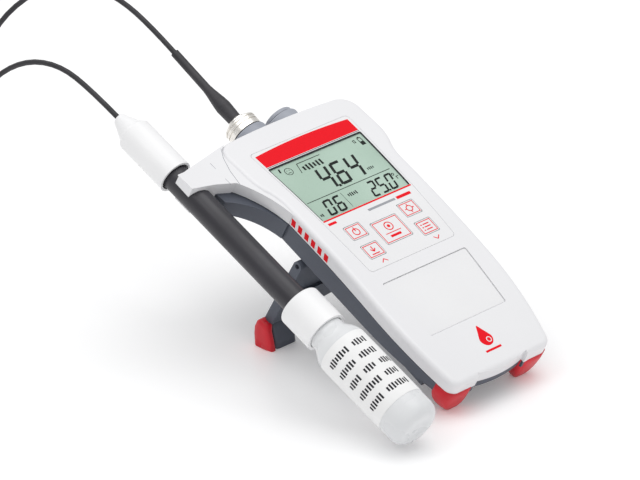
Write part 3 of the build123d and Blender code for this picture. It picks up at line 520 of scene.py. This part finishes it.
def makeDisplay():
    lcd = {"front": 94.3, "back": 128.3, "halfFront": 25.9, "halfBack": 27.4, "low": -1.1, "top": -0.62,
           "paneLow": -0.30, "paneTop": -0.04, "inkTop": -0.58, "lean": 0.2}
    bm = bmesh.new()
    addPlate(bm, lcd["front"], lcd["back"], lcd["halfFront"], lcd["halfBack"], lcd["low"], lcd["top"])
    layOnFace(bm)
    glass = newPiece("lcdPlate", bm, "meter", lcdGreen)
    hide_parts("lcd_panel")

    figures = [
        ("4", -10.9, 106.9, 6.7, 13.0, 1.6), ("6", -2.5, 106.9, 6.7, 13.0, 1.6),
        ("4", 5.9, 106.9, 6.7, 13.0, 1.6), ("0", -20.0, 95.0, 4.6, 8.8, 1.2),
        ("6", -14.2, 95.0, 4.6, 8.8, 1.2), ("2", 6.4, 95.0, 4.2, 8.8, 1.1),
        ("5", 11.4, 95.0, 4.2, 8.8, 1.1), ("0", 16.9, 95.0, 4.2, 8.8, 1.1),
    ]
    bm = bmesh.new()
    for figure, x, y, width, height, line in figures:
        addDigit(bm, figure, x, y, width, height, line, lcd["lean"])
    for x, y, size in ((-3.3, 107.5, 1.3), (16.1, 95.6, 0.9)):
        addBlock(bm, x, y, size, size)
    addBlock(bm, -0.3, 105.4, 49.6, 0.32)
    for step in range(12):
        addBlock(bm, -6.7, 95.6 + step * 0.72, 0.28, 0.45)
    addDisc(bm, 23.4, 102.2, 0.75, hole=0.42)
    addBlock(bm, 24.6, 100.6, 1.3, 0.35)
    addBlock(bm, 24.0, 99.9, 0.35, 1.6)
    addMarks(bm, -24.0, 97.2, (2,), 0.6, 1.0, 1.6)
    addMarks(bm, -4.0, 101.3, (5,), 0.6, 1.15, 1.9)
    addMarks(bm, 15.2, 109.6, (4,), 0.5, 1.0, 1.5)
    addMarks(bm, -11.4, 122.4, (6,), 1.1, 2.0, 3.2)
    addStroke(bm, (-14.3, 120.6), (-12.9, 125.9), 0.34)
    addStroke(bm, (-12.9, 125.9), (0.8, 125.9), 0.34)
    addDisc(bm, -19.2, 123.9, 2.1, hole=1.82)
    for x, y, size in ((-19.9, 124.5, 0.42), (-18.5, 124.5, 0.42)):
        addDisc(bm, x, y, size / 2, sides=12)
    addStroke(bm, (-20.1, 123.1), (-18.3, 123.1), 0.28)
    addBlock(bm, -23.0, 125.8, 0.8, 2.3, turn=-14)
    addFrame(bm, 24.4, 123.9, 2.3, 4.4, 0.36)
    addBlock(bm, 24.4, 122.9, 1.5, 1.9)
    addBlock(bm, 24.4, 126.4, 1.0, 0.5)
    addFrame(bm, 21.0, 125.0, 1.3, 1.7, 0.3)
    for vert in bm.verts:
        vert.co.z += lcd["top"]
    layOnFace(bm)
    newPiece("lcdSegments", bm, "meter", segmentInk)

    bm = bmesh.new()
    addPlate(bm, 94.2, 128.4, 26.0, 27.5, lcd["paneLow"], lcd["paneTop"])
    layOnFace(bm)
    clear = newPiece("displayPane", bm, "meter", pane)
    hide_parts("display_window")

    # Dark walls of painted shade along the window's left, right and far edges, down to the display, where the
    # recessed white walls fall in shade.
    bm = bmesh.new()
    for side in (-1, 1):
        addStroke(bm, (side * 26.05, 94.3), (side * 27.5, 128.3), 0.3, low=-1.0, high=-0.03, cuts=12)
    addPlate(bm, 127.95, 128.45, 27.35, 27.5, -1.0, -0.03)
    layOnFace(bm)
    newPiece("windowEdgeShade", bm, "meter", darkInkAndShade)
    print("display made")


makeDisplay()


# Printing on the face, and painted shade in the arm's seams
def makeFacePrint():
    ink = {"low": -0.02, "high": 0.05}
    bm = bmesh.new()
    addPlate(bm, 129.6, 136.9, 27.5, 27.7, ink["low"], ink["high"], columns=24, bow=1.3)
    addPlate(bm, 93.2, 93.95, 26.3, 26.3, ink["low"], ink["high"])
    addStroke(bm, (-16.6, 64.6), (-15.0, 66.2), 0.4, **ink)
    addStroke(bm, (-15.0, 66.2), (-13.4, 64.6), 0.4, **ink)
    addStroke(bm, (15.1, 66.0), (16.7, 64.4), 0.4, **ink)
    addStroke(bm, (16.7, 64.4), (18.3, 66.0), 0.4, **ink)
    addBlock(bm, -23.0, 91.3, 4.6, 1.3, **ink)
    addBlock(bm, 18.8, 90.3, 8.4, 1.5, **ink)
    layOnFace(bm)
    newPiece("redPrint", bm, "meter", redInk)

    bm = bmesh.new()
    addBlock(bm, 5.6, 90.3, 16.0, 1.1, **ink)
    layOnFace(bm)
    newPiece("greyPrint", bm, "meter", greyInk)

    bm = bmesh.new()
    addPlate(bm, 129.0, 129.3, 27.6, 27.6, ink["low"], 0.03)
    layOnFace(bm)
    newPiece("darkPrint", bm, "meter", darkInkAndShade)

    drop = {"x": 0.6, "y": 13.8, "radius": 3.5, "point": 6.8}
    bm = bmesh.new()
    addDisc(bm, 0, 0, drop["radius"], sides=48, **ink)
    for vert in bm.verts:
        rise = max(0.0, vert.co.y / drop["radius"])
        vert.co.x *= 1 - 0.62 * rise ** 1.5
        vert.co.y += rise ** 2 * (drop["point"] - drop["radius"])
        vert.co.x += drop["x"]
        vert.co.y += drop["y"]
    addBlock(bm, 0.6, 8.2, 9.0, 1.0, **ink)
    layOnFace(bm)
    newPiece("redDrop", bm, "meter", redInk)

    bm = bmesh.new()
    addDisc(bm, 1.7, 12.9, 1.35, sides=32, low=0.03, high=0.08, hole=0.95)
    layOnFace(bm)
    newPiece("dropGlint", bm, "meter", overlayFilm)


def makeKeyPrint():
    # A thin outline and a plain sign on each key, moving with it.
    centres = {"key_read": (0.0, 77.5, 15.0, 12.4), "key_exit": (-16.1, 83.3, 9.0, 7.4),
               "key_cal": (16.1, 83.3, 9.0, 7.4), "key_store": (-15.9, 71.9, 9.0, 7.4),
               "key_mode": (16.4, 71.9, 9.0, 7.4)}
    line = {"line": 0.34, "low": -0.02, "high": 0.05}
    thin = {"low": -0.02, "high": 0.05}
    for key, (x, y, width, height) in centres.items():
        bm = bmesh.new()
        addFrame(bm, x, y, width - 0.9, height - 0.9, **line)
        if key == "key_read":
            addDisc(bm, x, y + 2.0, 2.3, hole=1.85, **thin)
            addDisc(bm, x, y + 2.0, 0.8, **thin)
            addStroke(bm, (x - 4.4, y - 1.4), (x + 4.4, y - 1.4), 0.34, **thin)
            addBlock(bm, x, y - 3.2, 6.0, 1.2, **thin)
        elif key == "key_exit":
            addDisc(bm, x, y - 0.2, 1.9, hole=1.45, **thin)
            addBlock(bm, x, y + 1.3, 0.5, 2.2, **thin)
        elif key == "key_cal":
            addDisc(bm, x, y, 1.7, hole=1.3, **thin)
            for turn in (0, 90, 180, 270):
                addBlock(bm, x + 1.9 * cos(radians(turn)), y + 1.9 * sin(radians(turn)), 1.3, 0.4,
                         turn=turn, **thin)
        elif key == "key_store":
            addStroke(bm, (x, y + 2.1), (x, y - 0.6), 0.5, **thin)
            addStroke(bm, (x - 1.3, y + 0.6), (x, y - 0.8), 0.5, **thin)
            addStroke(bm, (x + 1.3, y + 0.6), (x, y - 0.8), 0.5, **thin)
            addBlock(bm, x, y - 2.0, 4.2, 0.5, **thin)
        else:
            for row in (-1, 0, 1):
                addDisc(bm, x - 2.2, y + row * 1.5, 0.36, sides=16, **thin)
                addBlock(bm, x + 0.5, y + row * 1.5, 3.4, 0.5, **thin)
        layOnFace(bm)
        newPiece("print" + key.split("_")[1].title(), bm, key + "_plate", redInk)


def makeSideDashes():
    # Slanted red dashes along the left wall.
    dash = {"first": 79.6, "pitch": 4.3, "count": 6, "width": 2.5, "height": 3.3, "below": 4.1,
            "wall": -35.4, "slant": 0.25}
    bm = bmesh.new()
    for number in range(dash["count"]):
        addBlock(bm, dash["first"] + number * dash["pitch"], 0, dash["width"], dash["height"], cuts=1)
    for vert in bm.verts:
        along = vert.co.x + dash["slant"] * vert.co.y
        vert.co = (dash["wall"] - vert.co.z, along, crown(along) - dash["below"] + vert.co.y)
    bmesh.ops.transform(bm, matrix=onMeter, verts=bm.verts)
    newPiece("sideDashes", bm, "meter", redInk)


def makeArmSeamShade():
    # The moulding lines where the arm leaves the shoulder, drawn as grey strokes of painted shade that stand
    # in for the shade in their grooves.
    seams = [(-37.6, 148.0), (-40.8, 142.9), (-43.6, 135.4), (-45.2, 127.4)]
    bm = bmesh.new()
    for start, end in zip(seams, seams[1:]):
        addStroke(bm, start, end, 0.28, low=-0.1, high=0.03)
    addStroke(bm, (-48.3, 143.2), (-48.9, 129.2), 0.24, low=-0.1, high=0.03)
    layOnFace(bm, 0.15)
    newPiece("armSeamShade", bm, "meter", paintedSeamShade)


makeFacePrint()
makeKeyPrint()
makeSideDashes()
makeArmSeamShade()
print("printing made")


# Feet
def keepOnFloor(bm):
    bmesh.ops.transform(bm, matrix=onMeter, verts=bm.verts)
    for vert in bm.verts:
        vert.co.z = max(vert.co.z, 0.00002)


def makeFrontFeet():
    # Red rubber that wraps each corner under the white shell and bulges down to the floor.
    foot = [(22.5, 4.75, 12.5, 15.7, 9.9), (22.5, 4.75, 8.4, 15.7, 9.9), (22.3, 4.7, 6.2, 15.2, 9.6),
            (22.0, 4.5, 3.8, 14.0, 8.9), (21.7, 4.2, 1.6, 12.0, 7.8), (21.3, 3.9, -0.4, 9.2, 6.2),
            (21.0, 3.6, -2.2, 5.6, 4.0), (21.0, 3.4, -3.2, 2.4, 1.8)]
    for side, name in ((-1, "left"), (1, "right")):
        bm = bmesh.new()
        addRounded(bm, [(side * x, *rest) for x, *rest in foot], power=4.6, sides=56)
        for vert in bm.verts:
            vert.co.x += side * 0.24 * (vert.co.y - 4.7) * max(0.0, min(1.0, (side * vert.co.x - 16) / 10))
        keepOnFloor(bm)
        piece = newPiece("frontFoot" + name.title(), bm, "meter", redRubber, smooth=True)
        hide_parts("front_foot_" + name)


def makeStandFeet():
    # Each leg ends in a dark heel with a red rubber cap on its outer side.
    profile = [(89.6, -32.6, 5.0), (89.4, -35.5, 8.2), (87.8, -38.8, 11.2), (85.8, -42.2, 12.6),
               (84.4, -46.2, 10.8), (83.8, -50.0, 7.6)]
    for side, name in ((-1, "left"), (1, "right")):
        for part, x, width, material, look, trim in (("Cap", 38.35, 3.7, redRubber, "red_rubber", 0.0),
                                                     ("Heel", 30.45, 11.9, slate, "slate_plastic", 0.9)):
            bm = bmesh.new()
            addRounded(bm, [(side * x, y, z, width, length - trim) for y, z, length in profile],
                       power=3.4 if part == "Cap" else 9.0, sides=48)
            keepOnFloor(bm)
            bulge = 1.1 if part == "Cap" else 0.0
            for vert in bm.verts:
                low = max(0.0, 1 - abs(vert.co.z - 0.008) / 0.009)
                vert.co.x += side * bulge * mm * low * 0.4
            piece = newPiece("stand" + part + name.title(), bm, "stand", material, smooth=True)
            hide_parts("stand_foot_" + name)


makeFrontFeet()
makeStandFeet()
print("feet made")


# Storage bottle
def makeBottle():
    profile = [
        (0, -147.6), (3.0, -147.8), (5.2, -148.3), (7.2, -148.5), (8.9, -148.2), (10.2, -147.2),
        (11.1, -145.7),
        (11.48, -143.8), (11.5, -141.0), (11.5, -138.2), (11.5, -99.8), (11.42, -98.9), (11.05, -97.6),
        (10.3, -96.0), (9.3, -94.4), (8.55, -93.2), (8.2, -92.2), (8.1, -91.2), (8.1, -77.3), (7.0, -77.3),
        (7.0, -92.4), (10.3, -99.2), (10.4, -144.0), (8.0, -147.0), (0, -147.0),
    ]
    bm = bmesh.new()
    addLathe(bm, profile, steps=96)
    bmesh.ops.transform(bm, matrix=onProbe, verts=bm.verts)
    piece = newPiece("milkyBottle", bm, "storage_bottle", milky, smooth=True)
    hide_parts("bottle")


def makeLabelMarks():
    # Five rows of plain signs that run round the label.
    label = {"radius": 11.64, "first": -105.6, "pitch": 6.35, "start": 92.0, "stroke": (0.85, 1.5, 3.1),
             "rows": ((8, 5), (7, 6), (5, 4, 5), (9, 5), (6, 8))}
    bm = bmesh.new()
    for row, counts in enumerate(label["rows"]):
        place = label["first"] - row * label["pitch"]
        addMarks(bm, 0.0, place, counts, *label["stroke"], low=-0.02, high=0.04)
    bmesh.ops.subdivide_edges(bm, edges=bm.edges[:], cuts=1)
    for vert in bm.verts:
        angle = radians(label["start"]) + vert.co.x / label["radius"]
        radius = label["radius"] + vert.co.z
        vert.co = (radius * cos(angle), radius * sin(angle), vert.co.y)
    bmesh.ops.transform(bm, matrix=onProbe, verts=bm.verts)
    newPiece("labelMarks", bm, "storage_bottle", darkInkAndShade)


makeBottle()
makeLabelMarks()
print("bottle made")


def makeFloor():
    bm = bmesh.new()
    bmesh.ops.create_grid(bm, x_segments=1, y_segments=1, size=6.0)
    mesh = bpy.data.meshes.new("floor")
    bm.to_mesh(mesh)
    bm.free()
    floor = bpy.data.objects.new("floor", mesh)
    floor.location = (0, 0, -0.0001)
    scene.collection.objects.link(floor)
    material, tree, shader, coords = startMaterial("floorWhite")
    shader.inputs["Base Color"].default_value = (0.93, 0.93, 0.935, 1)
    shader.inputs["Emission Color"].default_value = (1, 1, 1, 1)
    shader.inputs["Emission Strength"].default_value = 0.12
    cloud = noiseOf(tree, coords, 9.0, 3.0)
    tree.links.new(rangeOf(tree, cloud, 0.30, 0.36), shader.inputs["Roughness"])
    mesh.materials.append(material)


makeFloor()
